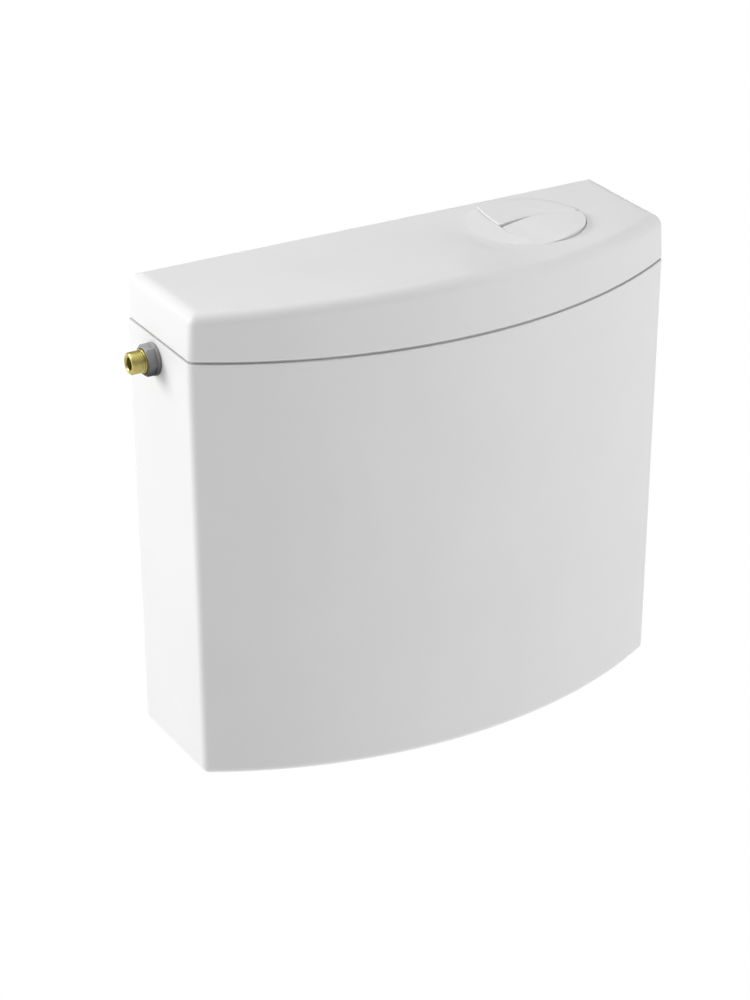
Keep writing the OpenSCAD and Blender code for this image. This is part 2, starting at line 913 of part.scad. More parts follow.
inlet_face = -half_w(inlet_z);
seal_lean = 2 * shank_flange_r * side_draft / joint_h;
seal_face = wall + fit_gap + seal_lean;
inlet_gasket_t = 2.5;
shank_flange_t = 3;
shank_flange_x = seal_face + inlet_gasket_t;
tail_step = 0.8;
tail_r = inlet_r - tail_step;
tail_l = 14;
tail_start = shank_flange_x + shank_flange_t;
tail_end = tail_start + tail_l;
nut_face = -fit_gap;
shoulder_t = 1.2;
thread_foot = nut_face - nut_t - shoulder_t;
thread_tip = thread_foot - inlet_l;
thread_chamfer = 0.8;

module on_inlet(x) {
  along_x(inlet_face + x, -inlet_y, inlet_z) children();
}

module inlet_shank() {
  color(brass)
    difference() {
      union() {
        on_inlet(thread_tip)
          cylinder(r1 = inlet_r - thread_chamfer, r2 = inlet_r, h = thread_chamfer);
        on_inlet(thread_tip + thread_chamfer)
          cylinder(r = inlet_r, h = inlet_l - thread_chamfer + slice_t);
        on_inlet(thread_foot) cylinder(r = shank_r, h = shank_flange_x - thread_foot + slice_t);
        on_inlet(shank_flange_x) cylinder(r = shank_flange_r, h = shank_flange_t);
        on_inlet(tail_start - slice_t) cylinder(r = tail_r, h = tail_end - tail_start + slice_t);
      }
      on_inlet(thread_tip - over) cylinder(r = inlet_bore_r, h = tail_end - thread_tip + 2 * over);
    }
}

nut_flange_t = 2.8;
nut_hex_r = shank_r + nut_wall;
nut_flange_rim = 0.4;
nut_flange_r = nut_hex_r + nut_flange_rim;

module inlet_nut() {
  color(grey)
    difference() {
      union() {
        on_inlet(nut_face - nut_flange_t) cylinder(r = nut_flange_r, h = nut_flange_t);
        on_inlet(nut_face - nut_t) cylinder(r = nut_hex_r, h = nut_t - nut_flange_t, $fn = 6);
      }
      on_inlet(nut_face - nut_t - over) cylinder(r = shank_r + fit_gap, h = nut_t + 2 * over);
    }
}

module inlet_gasket() {
  color(black_rubber)
    on_inlet(seal_face) tube(shank_flange_r, shank_r + fit_gap, 0, inlet_gasket_t);
}

strainer_t = 0.8;
strainer_l = 12;
slot_w = 1;
slot_inset = 2.5;

module inlet_strainer() {
  color(white)
    on_inlet(tail_end - strainer_l)
      difference() {
        cylinder(r = inlet_bore_r - fit_gap, h = strainer_l);
        translate([0, 0, strainer_t]) cylinder(r = inlet_bore_r - fit_gap - strainer_t, h = strainer_l);
        for (i = [0:2]) rotate([0, 0, 60 * i])
          translate([-inlet_bore_r - over, -slot_w / 2, slot_inset])
            cube([2 * (inlet_bore_r + over), slot_w, strainer_l - 2 * slot_inset]);
      }
}

// Fill valve: body over the shank's tail, diaphragm and screw cap, float lever on the cap

valve_x = tail_start + fit_gap;
valve_wall = 5;
valve_r = tail_r + valve_wall;
chamber_l = 24;
valve_end = tail_end + chamber_l;
nozzle_bore_r = 3;
nozzle_wall = 1.5;
nozzle_r = nozzle_bore_r + nozzle_wall;
chamber_wall = 3;
chamber_r = valve_r - chamber_wall;
chamber_foot = 4;
diaphragm_t = 2;
cap_t = 4;
cap_skirt = 8;
cap_wall = 3;
cap_r = valve_r + cap_wall;
cap_face = valve_end + diaphragm_t + cap_t;
spout_r = 6;
spout_lap = 1;
spout_x = tail_end + chamber_foot + spout_r - spout_lap;
spout_l = 20;
spout_wall = 1.5;
spout_stop = 1;
tube_wall = 2;
tube_r = spout_r + tube_wall;

module fill_valve_body() {
  color(white)
    difference() {
      union() {
        on_inlet(valve_x) cylinder(r = valve_r, h = valve_end - valve_x);
        translate([inlet_face + spout_x, -inlet_y, inlet_z - valve_r - spout_l])
          cylinder(r = spout_r, h = valve_r + spout_l);
      }
      on_inlet(valve_x - over) cylinder(r = tail_r + fit_gap, h = tail_end - valve_x + over);
      on_inlet(tail_end - over) cylinder(r = nozzle_bore_r, h = chamber_l + 2 * over);
      on_inlet(tail_end + chamber_foot) tube(chamber_r, nozzle_r, 0, chamber_l);
      translate([inlet_face + spout_x, -inlet_y, inlet_z - valve_r - spout_l - over])
        cylinder(r = spout_r - spout_wall, h = valve_r + spout_l + over - nozzle_r - spout_stop);
    }
}

module fill_diaphragm() {
  color(black_rubber)
    on_inlet(valve_end) cylinder(r = valve_r - fit_gap, h = diaphragm_t);
}

nose_h = 7;
pivot_gap = 9;
pivot_x = cap_face + pivot_gap;
pivot_z = inlet_z - nose_h;
lever_w = 9;
ear_t = 3;
ear_gap = lever_w / 2 + play;
lever_pin_r = 1.5;
pin_tail = 0.5;
ear_h = 8;
stop_room = 1;
stop_x = ear_h / 2 + stop_room;
stop_t = 2.5;
lever_t = 6;
shutoff_r = 1.5;

module at_pivot() {
  translate([inlet_face + pivot_x, -inlet_y, pivot_z]) children();
}

module fill_valve_cap() {
  color(grey)
    difference() {
      union() {
        on_inlet(valve_end - cap_skirt) cylinder(r = cap_r, h = cap_skirt + diaphragm_t + cap_t);
        at_pivot() {
          for (side = [-1, 1])
            translate([-pivot_gap - over, side * (ear_gap + ear_t / 2) - ear_t / 2, -ear_h / 2])
              cube([pivot_gap + stop_x + stop_t + over, ear_t, ear_h]);
          translate([stop_x, -ear_gap - ear_t / 2, -lever_t / 2 - play - stop_t])
            cube([stop_t, 2 * ear_gap + ear_t, stop_t]);
        }
      }
      on_inlet(valve_end - cap_skirt - over)
        cylinder(r = valve_r + fit_gap, h = cap_skirt + diaphragm_t + over);
      on_inlet(valve_end) cylinder(r = shutoff_r + run_gap, h = diaphragm_t + cap_t + over);
      at_pivot() rotate([90, 0, 0]) cylinder(r = lever_pin_r + run_gap, h = 4 * lever_w, center = true);
    }
}

// Shut-off pin: slides in the cap, between the lever's nose and the diaphragm
pin_reach = 4;
nose_reach = pivot_gap - pin_reach - play;
shutoff_travel = (nose_h + shutoff_r) * tan(lever_swing) + nose_reach * (1 / cos(lever_swing) - 1);
echo(shutoff_travel = shutoff_travel);
pin_start = valve_end + diaphragm_t + shutoff_travel + play;
pin_stop = cap_face + pin_reach;

module shutoff_pin() {
  color(acetal) on_inlet(pin_start) cylinder(r = shutoff_r, h = pin_stop - pin_start);
}

// Float lever: its nose stands above the pivot, so the rising float drives the pin home
nose_x = pin_stop + play;
nose_lap = 2;
nose_t = pivot_x - nose_x + nose_lap;
nose_rise = 4;
nose_top = nose_h + nose_rise;
adjuster_r = 2;
adjuster_x = pivot_x + lever_l;

module float_lever() {
  color(white)
    at_pivot()
      difference() {
        union() {
          rotate([90, 0, 0]) cylinder(r = ear_h / 2, h = lever_w, center = true);
          translate([0, -lever_w / 2, -lever_t / 2]) cube([lever_l + lever_w / 2, lever_w, lever_t]);
          translate([nose_x - pivot_x, -lever_w / 2, 0]) cube([nose_t, lever_w, nose_top]);
        }
        rotate([90, 0, 0]) cylinder(r = lever_pin_r + run_gap, h = 2 * lever_w, center = true);
        translate([lever_l, 0, -lever_t]) cylinder(r = adjuster_r + run_gap, h = 2 * lever_t);
      }
}

module lever_pin() {
  color(steel)
    at_pivot() rotate([90, 0, 0])
      cylinder(r = lever_pin_r, h = 2 * (ear_gap + ear_t + pin_tail), center = true);
}

// Float and its adjusting screw

float_drop = 26;
float_top = pivot_z - float_drop;
float_edge_r = 6;
float_socket = 12;
screw_rise = 12;
screw_top = pivot_z + lever_t / 2 + screw_rise;
screw_rim = 2;
screw_head_t = 4;
screw_collar_t = 3;
adjuster_nut_wall = 3;
adjuster_nut_h = 5;
collar_gap = 0.1;

module at_adjuster() {
  translate([inlet_face + adjuster_x, -inlet_y, 0]) children();
}

module float_adjuster() {
  color(acetal)
    at_adjuster() {
      translate([0, 0, float_top - float_socket])
        cylinder(r = adjuster_r, h = screw_top - float_top + float_socket);
      translate([0, 0, screw_top]) cylinder(r = adjuster_r + screw_rim, h = screw_head_t, $fn = 6);
      translate([0, 0, pivot_z - lever_t / 2 - collar_gap - screw_collar_t])
        cylinder(r = adjuster_r + screw_rim, h = screw_collar_t);
    }
}

module adjuster_nut() {
  color(grey)
    at_adjuster()
      difference() {
        translate([0, 0, pivot_z + lever_t / 2 + collar_gap])
          cylinder(r = adjuster_r + adjuster_nut_wall, h = adjuster_nut_h, $fn = 6);
        translate([0, 0, pivot_z]) cylinder(r = adjuster_r + run_gap, h = lever_t + 2 * adjuster_nut_h);
      }
}

// Block of foam with rounded upright edges
module rounded_block(size, r) {
  translate([-size[0] / 2 + r, -size[1] / 2, 0]) cube([size[0] - 2 * r, size[1], size[2]]);
  translate([-size[0] / 2, -size[1] / 2 + r, 0]) cube([size[0], size[1] - 2 * r, size[2]]);
  for (x = [-1, 1], y = [-1, 1])
    translate([x * (size[0] / 2 - r), y * (size[1] / 2 - r), 0]) cylinder(r = r, h = size[2]);
}

module fill_float() {
  color(foam_white)
    at_adjuster()
      difference() {
        translate([0, 0, float_top - float_size[2]]) rounded_block(float_size, float_edge_r);
        translate([0, 0, float_top - float_socket])
          cylinder(r = adjuster_r + fit_gap, h = float_socket + over);
      }
}

tube_head_gap = 4;
tube_foot_gap = 25;

module fill_drop_tube() {
  tube_top = inlet_z - valve_r - tube_head_gap;
  color(grey)
    translate([inlet_face + spout_x, -inlet_y, 0])
      tube(tube_r, spout_r + fit_gap, liner_floor + liner_t + tube_foot_gap, tube_top);
}

// Plug in the unused inlet hole on the right, mirrored from the inlet

module on_plug(x) {
  mirror([1, 0, 0]) on_inlet(x) children();
}

plug_head_t = 3.5;
plug_bevel = 1.5;
plug_nut_t = 6;
plug_tail = 4;

module blanking_plug() {
  color(white)
    union() {
      on_plug(nut_face - plug_head_t)
        cylinder(r1 = nut_flange_r - plug_bevel, r2 = nut_flange_r, h = plug_head_t);
      on_plug(nut_face - slice_t)
        cylinder(r = shank_r, h = seal_face + inlet_gasket_t + plug_nut_t + plug_tail);
    }
}

module plug_seal() {
  color(black_rubber) on_plug(seal_face) tube(shank_flange_r, shank_r + fit_gap, 0, inlet_gasket_t);
}

module plug_nut() {
  color(grey)
    on_plug(seal_face + inlet_gasket_t)
      difference() {
        cylinder(r = shank_flange_r, h = plug_nut_t, $fn = 6);
        translate([0, 0, -over]) cylinder(r = shank_r + fit_gap, h = plug_nut_t + 2 * over);
      }
}

at_datum() tank_body();
at_datum() insulation_liner();
at_datum() lid();
at_datum() button_frame();
at_datum() full_flush_button();
at_datum() part_flush_button();
at_datum() full_push_pin();
at_datum() part_push_pin();
at_datum() full_button_spring();
at_datum() part_button_spring();
at_datum() actuator_bridge();
at_datum() rocker_axle();
at_datum() axle_clip();
at_datum() full_flush_rocker();
at_datum() part_flush_rocker();
at_datum() full_lift_rod();
at_datum() part_lift_rod();
at_datum() overflow_pipe();
at_datum() seat_seal();
at_datum() lift_collar();
at_datum() part_flush_float();
at_datum() valve_cage();
at_datum() valve_seat();
at_datum() outlet_gasket();
at_datum() outlet_washer();
at_datum() outlet_back_nut();
at_datum() flush_pipe_seal();
at_datum() flush_pipe_nut();
at_datum() inlet_shank();
at_datum() inlet_nut();
at_datum() inlet_gasket();
at_datum() inlet_strainer();
at_datum() fill_valve_body();
at_datum() fill_diaphragm();
at_datum() fill_valve_cap();
at_datum() shutoff_pin();
at_datum() float_lever();
at_datum() lever_pin();
at_datum() float_adjuster();
at_datum() adjuster_nut();
at_datum() fill_float();
at_datum() fill_drop_tube();
at_datum() blanking_plug();
at_datum() plug_seal();
at_datum() plug_nut();
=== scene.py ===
import contextlib
import json
import math

import bmesh
import bpy
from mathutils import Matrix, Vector

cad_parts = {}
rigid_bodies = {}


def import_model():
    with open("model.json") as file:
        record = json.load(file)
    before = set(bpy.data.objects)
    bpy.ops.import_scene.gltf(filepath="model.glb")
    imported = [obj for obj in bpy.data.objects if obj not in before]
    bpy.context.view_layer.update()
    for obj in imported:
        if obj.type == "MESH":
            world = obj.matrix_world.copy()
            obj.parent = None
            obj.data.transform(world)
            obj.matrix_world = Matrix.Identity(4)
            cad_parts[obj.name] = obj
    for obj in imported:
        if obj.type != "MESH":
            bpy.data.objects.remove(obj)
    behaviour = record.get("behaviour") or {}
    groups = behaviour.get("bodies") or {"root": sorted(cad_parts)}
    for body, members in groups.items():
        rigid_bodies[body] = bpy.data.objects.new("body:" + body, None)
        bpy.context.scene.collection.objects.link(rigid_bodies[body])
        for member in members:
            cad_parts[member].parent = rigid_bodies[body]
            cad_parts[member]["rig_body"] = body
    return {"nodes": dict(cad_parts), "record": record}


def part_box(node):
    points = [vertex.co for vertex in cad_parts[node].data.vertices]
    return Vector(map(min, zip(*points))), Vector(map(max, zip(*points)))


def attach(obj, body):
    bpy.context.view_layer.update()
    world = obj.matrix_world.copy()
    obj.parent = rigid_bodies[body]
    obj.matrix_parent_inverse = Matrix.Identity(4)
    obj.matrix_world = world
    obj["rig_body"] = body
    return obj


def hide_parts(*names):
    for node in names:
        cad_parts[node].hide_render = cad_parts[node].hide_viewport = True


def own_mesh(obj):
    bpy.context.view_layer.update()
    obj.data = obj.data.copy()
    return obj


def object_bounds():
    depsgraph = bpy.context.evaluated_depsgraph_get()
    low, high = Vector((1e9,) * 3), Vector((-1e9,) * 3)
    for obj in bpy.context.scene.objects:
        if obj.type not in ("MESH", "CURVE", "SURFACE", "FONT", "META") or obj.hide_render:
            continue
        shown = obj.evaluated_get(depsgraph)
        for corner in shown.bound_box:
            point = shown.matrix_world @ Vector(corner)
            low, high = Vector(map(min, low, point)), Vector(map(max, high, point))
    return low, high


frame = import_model()
cad_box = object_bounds()

# Lengths are millimetres in the tank's own frame: underside at z = 0, wall plane at y = 0, front
# towards -y. place() turns them into metres about the point midway between the wall-screw holes.
MM = 0.001
FIX_H = -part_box("tank_body")[0].z / MM

# Tank
TANK_W = 400.0
JOINT_H = 335.0
SIDE_DEPTH = 97.5
BOW = 57.5
SIDE_DRAFT = 3.5
BOW_DRAFT = 6.0
WALL = 3.0
FLOOR_T = 3.5
FRONT_R = 8.0
REAR_R = 2.5
BASE_R = 5.0
LEAST_R = 0.5
FIX_W = 240.0
FIX_R = 4.0
FIX_BOSS_R = 12.0
FIX_BOSS_T = 3.0
OUTLET_Y = 62.0
OUTLET_HOLE_R = 30.2
DRILL_REACH = 4 * WALL

# Lid, and its joint with the tank
LID_H = 35.0
LID_T = 3.0
LID_EDGE_R = 9.0
LID_DRAFT = 2.0
CROWN_RISE = 10.0
CROWN_START = 12.0
CROWN_POWER = 1.4
CROWN_CLEAR = 26.0
CROWN_LOSS = 0.62
CROWN_LOSS_X = 33.0
CROWN_LOSS_W = 77.0
SHADOW_GAP = 1.6
LIP_T = 1.0
JOINT_R = 1.2
# How far the painted shade of the joint groove reaches past it
JOINT_SHADE_W = 0.4
SKIRT_H = 4.0
SKIRT_T = 2.0
SKIRT_GAP = 0.4
LID_FOOT = JOINT_H + SHADOW_GAP / 2
RIM_Z = JOINT_H - SHADOW_GAP / 2
LID_TOP = JOINT_H + LID_H
LID_UNDER = LID_TOP - LID_T
RIB_T = 2.0
RIB_H = 9.0
RIB_PITCH = 66.0

# Flush buttons, about the centre of their round field
PAD_X = 100.5
PAD_Y = 59.0
PAD_R = 46.0
PAD_CUT = 23.0
CUT_R = 190.0
SPLIT_R = 90.0
SPLIT_X = 7.0
SPLIT_RISE = 3.0
CORNER_SOFT = 3.0
FIELD_CENTRE = (8.0, 0.0)
FULL_CENTRE = (12.0, -18.0)
PART_CENTRE = (10.0, 22.0)
RAMP_RISE = 1.3
RAMP_SOFT = 10.0
BUTTON_GAP = 0.5
BUTTON_RISE = 2.5
BUTTON_T = 2.4
BUTTON_SKIN = 0.8
BUTTON_EDGE_R = 0.9
BUTTON_TRAVEL = 10.0
BUTTON_PLAY = 1.0
FULL_SLOPE_L = 36.0
FULL_DROP = 0.4
RIM_W = 6.0
RIM_FALL = 1.1
DIP = 0.9
DIP_W = 9.0
DIP_FADE = 24.0
DIP_START = 0.4
STEM_R = 4.0
STEM_Y = 22.0
STEM_DY = -3.0
STEM_FOOT = 347.7
STEM_BITE = 0.3
PIN_R = 2.0
PIN_DEEP = 8.0
SPRING_FLOOR = 352.5
SPRING_R = 5.6
SPRING_WIRE = 0.8
SPRING_TURNS = 4
SPRING_PLAY = 0.05
SPRING_FOOT = 1.5 * SPRING_WIRE
BUTTON_TOP = LID_TOP + BUTTON_RISE
BUTTON_UNDER = BUTTON_TOP - BUTTON_T
BUTTON_SKIRT = SPRING_FLOOR + BUTTON_TRAVEL + BUTTON_PLAY

# Water inlet. Pairs give how far a rounded edge falls back in radius and along the axis.
INLET_Y = 42.0
INLET_Z = 317.97
INLET_HOLE_R = 9.23
NUT_HEX_R = 12.03
NUT_FLAT_R = NUT_HEX_R * math.cos(math.pi / 6)
NUT_BORE_R = 8.98
NUT_FLANGE_R = 12.43
NUT_FLANGE_T = 2.8
NUT_BRIM = ((0.0, 1.0), (0.35, 0.35), (0.8, 0.0))
NUT_STEP = 0.05
NUT_BEVEL_W = 1.5
NUT_BEVEL_H = 0.9
SHANK_R = 8.83
SHANK_BORE_R = 4.75
SHANK_TAIL_R = 7.53
SHANK_FLANGE_R = 12.33
SHANK_FLANGE_T = 3.0
SHANK_FLANGE_X = 26.2
SHANK_EASE = 0.3
SHANK_END_EASE = 0.4
MOUTH_INSIDE = ((0.0, 0.9), (0.5, 0.3), (0.9, 0.0))
MOUTH_OUTSIDE = ((1.5, 0.0), (1.2, 0.1), (0.4, 0.9))
THREAD_R = 8.33
THREAD_L = 10.0
THREAD_PITCH = 1.337
THREAD_DEPTH = 0.24
THREAD_START = 1.2
THREAD_STOP = 0.8
THREAD_GROOVE = 0.5

# Fineness of the meshes
REAR_STEPS = 8
FRONT_STEPS = 14
BOW_STEPS = 96
FLAT_SHARES = (0.01, 0.25, 0.5, 0.75, 0.99)
TANK_STEPS = 12
LID_STEPS = 4
RAMP_STEPS = 14
ROUND_STEPS = 64
FILLET_STEPS = 10
FIELD_STEPS = 360
HALVINGS = 40
BUTTON_STEPS = 6
BUTTON_CORE = 0.85
SPRING_STEPS = 36
SPRING_END_STEPS = 6
WIRE_STEPS = 12
NUT_STEPS = 96
NUT_BEVEL_STEPS = 8
SHANK_STEPS = 72
THREAD_STEPS = 60
CELL = 10.0
CELLS_ASIDE = 18
CELLS_DEEP = 14
LEVEL_PLAY = 0.01
SUPPORT = 0.6
WELD = 0.02
EDGE_R = 0.5
SHARP_ANGLE = math.radians(32)

# Edges of the pieces carried over from the model
EASED_EDGE = 0.35
SMALL_EDGES = {"axle_clip": 0.1, "lever_pin": 0.15, "inlet_strainer": 0.1, "shutoff_pin": 0.15}
PLAIN_EDGES = ("full_push_pin", "part_push_pin")
EASED_ANGLE = math.radians(40)

# Painted shade on the underside of the inlet nut
PAINTED_SHADE_DARK = (0.035, 0.033, 0.036)
PAINTED_SHADE_BELOW = 8.0
PAINTED_SHADE_ABOVE = 12.0

# Stage, in metres
EYE = Vector((-1.0654, -1.8696, 0.9165))
TARGET = Vector((-0.0346, -0.070, -0.1082))
LENS = 111.05
SENSOR_W = 36.0
LIGHT_AIM = Vector((0, -0.07, -0.1))
AMBIENT = 0.12
FLOOR_REACH = 60.0
FLOOR_DROP = 2.2
BACKDROP_R = 20.0
WHITE = (1.0, 1.0, 1.0, 1.0)


# Numbers and points

def place(point):
    """A point of the tank's frame, in metres in the model's frame."""
    x, y, z = point
    return Vector((x, y, z - FIX_H)) * MM


def clamped(share):
    return max(0.0, min(share, 1.0))


def eased(share):
    share = clamped(share)
    return share * share * (3 - 2 * share)


def spread(start, stop, steps):
    return [start + (stop - start) * i / steps for i in range(steps + 1)]


def arc(x, y, r, start, stop, steps):
    turns = [math.radians(a) for a in spread(start, stop, steps)]
    return [(x + r * math.cos(a), y + r * math.sin(a)) for a in turns]


def circle(x, y, r):
    return arc(x, y, r, 0, 360, ROUND_STEPS)[:-1]


def flat(start, stop):
    """Points along a straight side, two of them close to the round corners."""
    (ax, ay), (bx, by) = start, stop
    return [(ax + (bx - ax) * s, ay + (by - ay) * s) for s in FLAT_SHARES]


def fillet(z, inset, r, z_sign, start, stop):
    """Quarter round in (height, inset), from 0 at the level end to 90 at the upright end."""
    turns = [math.radians(a) for a in spread(start, stop, FILLET_STEPS)]
    return [(z + z_sign * r * (1 - math.cos(a)), inset + r * (1 - math.sin(a))) for a in turns]


# Mesh tools

def loft(rings, joined=False):
    """Skin over the rings: the last one joins the first, or else both ends are capped."""
    n = len(rings[0])
    points = [p for ring in rings for p in ring]
    faces = []
    for i in range(len(rings) if joined else len(rings) - 1):
        low = i * n
        high = (i + 1) % len(rings) * n
        for k in range(n):
            after = (k + 1) % n
            faces.append((low + k, low + after, high + after, high + k))
    if not joined:
        faces.append(tuple(range(n)))
        faces.append(tuple(range(len(points) - n, len(points))))
    return points, faces


def upright(x, y, profile, joined=False):
    """Turned shape about an upright axis, from a profile of (radius, height)."""
    rings = [[(px, py, z) for px, py in circle(x, y, r)] for r, z in profile]
    return loft(rings, joined)


def level(x, y, z, profile):
    """Turned shape about an axis along x, from a profile of (radius, distance along it)."""
    return loft([[(x + px, y + a, z + b) for a, b in circle(0, 0, r)] for r, px in profile])


def add_object(name, data):
    obj = bpy.data.objects.new(name, data)
    bpy.context.scene.collection.objects.link(obj)
    return obj


@contextlib.contextmanager
def edited(mesh):
    """The mesh as a bmesh, which is written back at the end of the block."""
    bm = bmesh.new()
    bm.from_mesh(mesh)
    yield bm
    bm.to_mesh(mesh)
    bm.free()


def weld(bm):
    """Takes out the slivers that a cut leaves."""
    bmesh.ops.dissolve_degenerate(bm, dist=WELD * MM, edges=bm.edges)


def solid(name, shape):
    points, faces = shape
    mesh = bpy.data.meshes.new(name)
    mesh.from_pydata([place(p) for p in points], [], faces)
    with edited(mesh) as bm:
        bmesh.ops.recalc_face_normals(bm, faces=bm.faces)
    return add_object(name, mesh)


def carve(target, tool, operation):
    """Joins the tool to the target or cuts it away, and removes the tool."""
    change = target.modifiers.new("carve", "BOOLEAN")
    change.operation = operation
    change.solver = "EXACT"
    change.object = tool
    graph = bpy.context.evaluated_depsgraph_get()
    mesh = bpy.data.meshes.new_from_object(target.evaluated_get(graph))
    target.modifiers.clear()
    target.data = mesh
    bpy.data.objects.remove(tool)
    with edited(mesh) as bm:
        weld(bm)


def shade(obj):
    """Smooth shading between sharp edges."""
    obj.data.shade_smooth()
    obj.data.set_sharp_from_angle(angle=SHARP_ANGLE)
    evened = obj.modifiers.new("evened", "WEIGHTED_NORMAL")
    evened.keep_sharp = True


# Materials

def shader_of(material):
    material.use_nodes = True
    tree = material.node_tree
    return tree, tree.nodes["Principled BSDF"]


def textured(tree, kind, output, scale, **settings):
    """A texture in the object's own coordinates."""
    where = tree.nodes.new("ShaderNodeTexCoord")
    texture = tree.nodes.new(kind)
    texture.inputs["Scale"].default_value = scale
    for name, value in settings.items():
        texture.inputs[name].default_value = value
    tree.links.new(where.outputs["Object"], texture.inputs["Vector"])
    return texture.outputs[output]


def noise(tree, scale, detail):
    return textured(tree, "ShaderNodeTexNoise", "Fac", scale, Detail=detail)


def ramped(tree, source, low, high, start=0.3, stop=0.7):
    ramp = tree.nodes.new("ShaderNodeValToRGB")
    ramp.color_ramp.elements[0].position = start
    ramp.color_ramp.elements[1].position = stop
    ramp.color_ramp.elements[0].color = (*low, 1)
    ramp.color_ramp.elements[1].color = (*high, 1)
    tree.links.new(source, ramp.inputs["Fac"])
    return ramp.outputs["Color"]


def coloured(tree, shader, source, low, high, **ends):
    tree.links.new(ramped(tree, source, low, high, **ends), shader.inputs["Base Color"])


def roughened(tree, shader, source, low, high):
    rough = ramped(tree, source, (low, low, low), (high, high, high))
    tree.links.new(rough, shader.inputs["Roughness"])


def bumped(tree, shader, source, strength, distance):
    bump = tree.nodes.new("ShaderNodeBump")
    bump.inputs["Strength"].default_value = strength
    bump.inputs["Distance"].default_value = distance * MM
    tree.links.new(source, bump.inputs["Height"])
    tree.links.new(bump.outputs["Normal"], shader.inputs["Normal"])


def scaled(colour, factor):
    return tuple(c * factor for c in colour)


def moulded(name, colour, roughness, clouding, peel, shine=0.5):
    """Moulded plastic: cloudy colour, uneven gloss and a fine orange peel."""
    material = bpy.data.materials.new(name)
    tree, shader = shader_of(material)
    coloured(tree, shader, noise(tree, scale=14, detail=3), scaled(colour, 1 - clouding), colour)
    gloss = noise(tree, scale=60, detail=4)
    roughened(tree, shader, gloss, low=roughness * 0.85, high=roughness * 1.15)
    bumped(tree, shader, noise(tree, scale=900, detail=2), strength=peel, distance=0.05)
    shader.inputs["Specular IOR Level"].default_value = shine
    return material


def bead_foam(name, colour):
    """Moulded foam: pressed beads with darker seams between them."""
    material = bpy.data.materials.new(name)
    tree, shader = shader_of(material)
    beads = textured(tree, "ShaderNodeTexVoronoi", "Distance", scale=330)
    coloured(tree, shader, beads, colour, scaled(colour, 0.86), start=0.35, stop=0.75)
    bumped(tree, shader, beads, strength=0.35, distance=-0.6)
    shader.inputs["Roughness"].default_value = 0.75
    return material


def soft_rubber(name, colour):
    """Moulded rubber: dull, with a dusty bloom."""
    material = bpy.data.materials.new(name)
    tree, shader = shader_of(material)
    bloom = noise(tree, scale=120, detail=6)
    coloured(tree, shader, bloom, colour, scaled(colour, 1.8), start=0.4, stop=0.8)
    bumped(tree, shader, bloom, strength=0.15, distance=0.1)
    shader.inputs["Roughness"].default_value = 0.62
    return material


def worked_metal(name, dark, light, roughness):
    """Turned or drawn metal: stained colour, uneven gloss and fine scratches."""
    material = bpy.data.materials.new(name)
    tree, shader = shader_of(material)
    stain = noise(tree, scale=180, detail=5)
    coloured(tree, shader, stain, dark, light)
    roughened(tree, shader, stain, low=roughness * 1.3, high=roughness * 0.8)
    bumped(tree, shader, noise(tree, scale=1500, detail=2), strength=0.06, distance=0.03)
    shader.inputs["Metallic"].default_value = 1.0
    return material


def painted_shade_downwards(material, low, high):
    """Painted shade towards the underside: the colour darkens from height high down to height low.
    """
    tree, shader = shader_of(material)
    unshaded = shader.inputs["Base Color"].links[0].from_socket
    height = tree.nodes.new("ShaderNodeSeparateXYZ")
    where = tree.nodes.new("ShaderNodeTexCoord")
    tree.links.new(where.outputs["Object"], height.inputs["Vector"])
    share = tree.nodes.new("ShaderNodeMapRange")
    share.inputs["From Min"].default_value = place((0, 0, low)).z
    share.inputs["From Max"].default_value = place((0, 0, high)).z
    tree.links.new(height.outputs["Z"], share.inputs["Value"])
    shade_mix = tree.nodes.new("ShaderNodeMix")
    shade_mix.data_type = "RGBA"
    shade_mix.inputs["A"].default_value = (*PAINTED_SHADE_DARK, 1)
    tree.links.new(share.outputs["Result"], shade_mix.inputs["Factor"])
    tree.links.new(unshaded, shade_mix.inputs["B"])
    tree.links.new(shade_mix.outputs["Result"], shader.inputs["Base Color"])
    return material


SLOT_MATERIALS = {
    "white_gloss": moulded("white_gloss", (0.86, 0.86, 0.86), roughness=0.34, clouding=0.02,
                           peel=0.015, shine=0.15),
    "liner_foam": bead_foam("liner_foam", (0.88, 0.88, 0.86)),
    "grey_plastic": moulded("grey_plastic", (0.19, 0.19, 0.20), roughness=0.38, clouding=0.08,
                            peel=0.05),
    "natural_plastic": moulded("natural_plastic", (0.66, 0.67, 0.64), roughness=0.42,
                               clouding=0.05, peel=0.04),
    "blue_plastic": moulded("blue_plastic", (0.035, 0.12, 0.32), roughness=0.34, clouding=0.10,
                            peel=0.04),
    "brass": worked_metal("brass", (0.48, 0.41, 0.13), (0.58, 0.50, 0.19), roughness=0.42),
    "rubber": soft_rubber("rubber", (0.014, 0.014, 0.016)),
    "steel": worked_metal("steel", (0.48, 0.49, 0.51), (0.62, 0.63, 0.65), roughness=0.28),
}
# Darker grey for the faces in the joint groove: painted shade.
JOINT_PAINTED_SHADE = moulded("joint_painted_shade", (0.72, 0.72, 0.72), roughness=0.6, clouding=0.1, peel=0.05,
                     shine=0.2)
# Lighter grey for the inlet nut; its underside gets painted shade below.
NUT_PLASTIC = moulded("grey_painted_shade", (0.42, 0.42, 0.43), roughness=0.36, clouding=0.08, peel=0.05,
                      shine=0.25)
slot_of = {part["node"]: part["material_slot"] for part in frame["record"]["subparts"]}


def dress(obj, material):
    obj.data.materials.clear()
    obj.data.materials.append(material)


def stand_in(obj, node, material=None):
    """Finishes a piece and puts it in the place of a node of the model."""
    dress(obj, material or SLOT_MATERIALS[slot_of[node]])
    shade(obj)
    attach(obj, frame["nodes"][node]["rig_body"])
    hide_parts(node)


